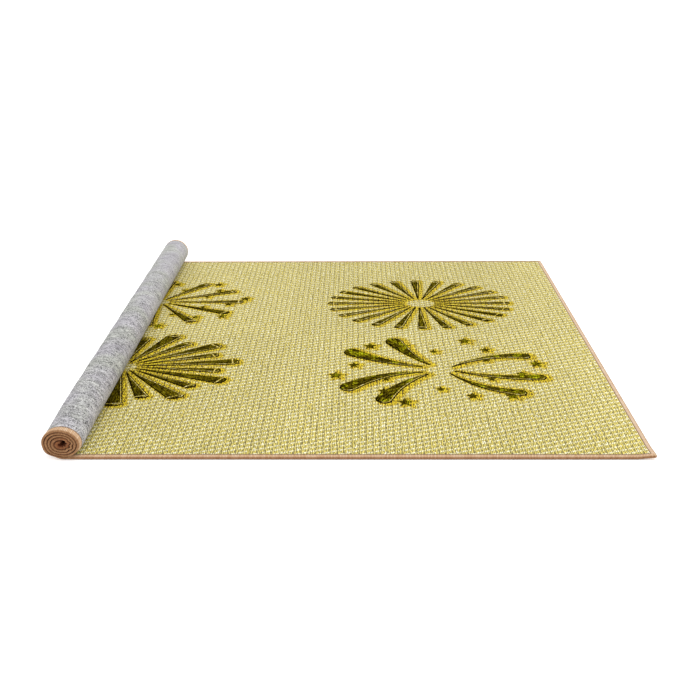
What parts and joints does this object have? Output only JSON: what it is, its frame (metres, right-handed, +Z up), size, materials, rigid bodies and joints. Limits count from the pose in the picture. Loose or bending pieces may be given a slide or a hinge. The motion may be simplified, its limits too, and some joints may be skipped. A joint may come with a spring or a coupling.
{
  "type": "area rug",
  "caption": "Rectangular woven area rug with serged edges, lying face up with one short end rolled up onto its face.",
  "frame": {"origin": "centre of the bounding box on the floor plane, under the backing", "axes": "+Z up from the floor, +X along the rug from the roll towards the flat end, +Y across the rug away from the viewer"},
  "size_m": [1.0028, 0.914, 0.0656],
  "materials": {
    "face_weave": "matte woven yarn",
    "backing_canvas": "matte heathered canvas",
    "adhesive": "matte latex",
    "serging_yarn": "soft sheen yarn",
    "pattern_yarn": "matte woven yarn"
  },
  "bodies": {
    "root": {"face_cloth": "face_weave", "bonding_layer": "adhesive", "backing_cloth": "backing_canvas", "front_serging": "serging_yarn", "back_serging": "serging_yarn", "flat_end_serging": "serging_yarn", "rolled_end_serging": "serging_yarn", "motif_starburst": "pattern_yarn", "motif_comet_burst": "pattern_yarn", "motif_fan_burst": "pattern_yarn", "motif_spray_burst": "pattern_yarn"}
  },
  "joints": []
}
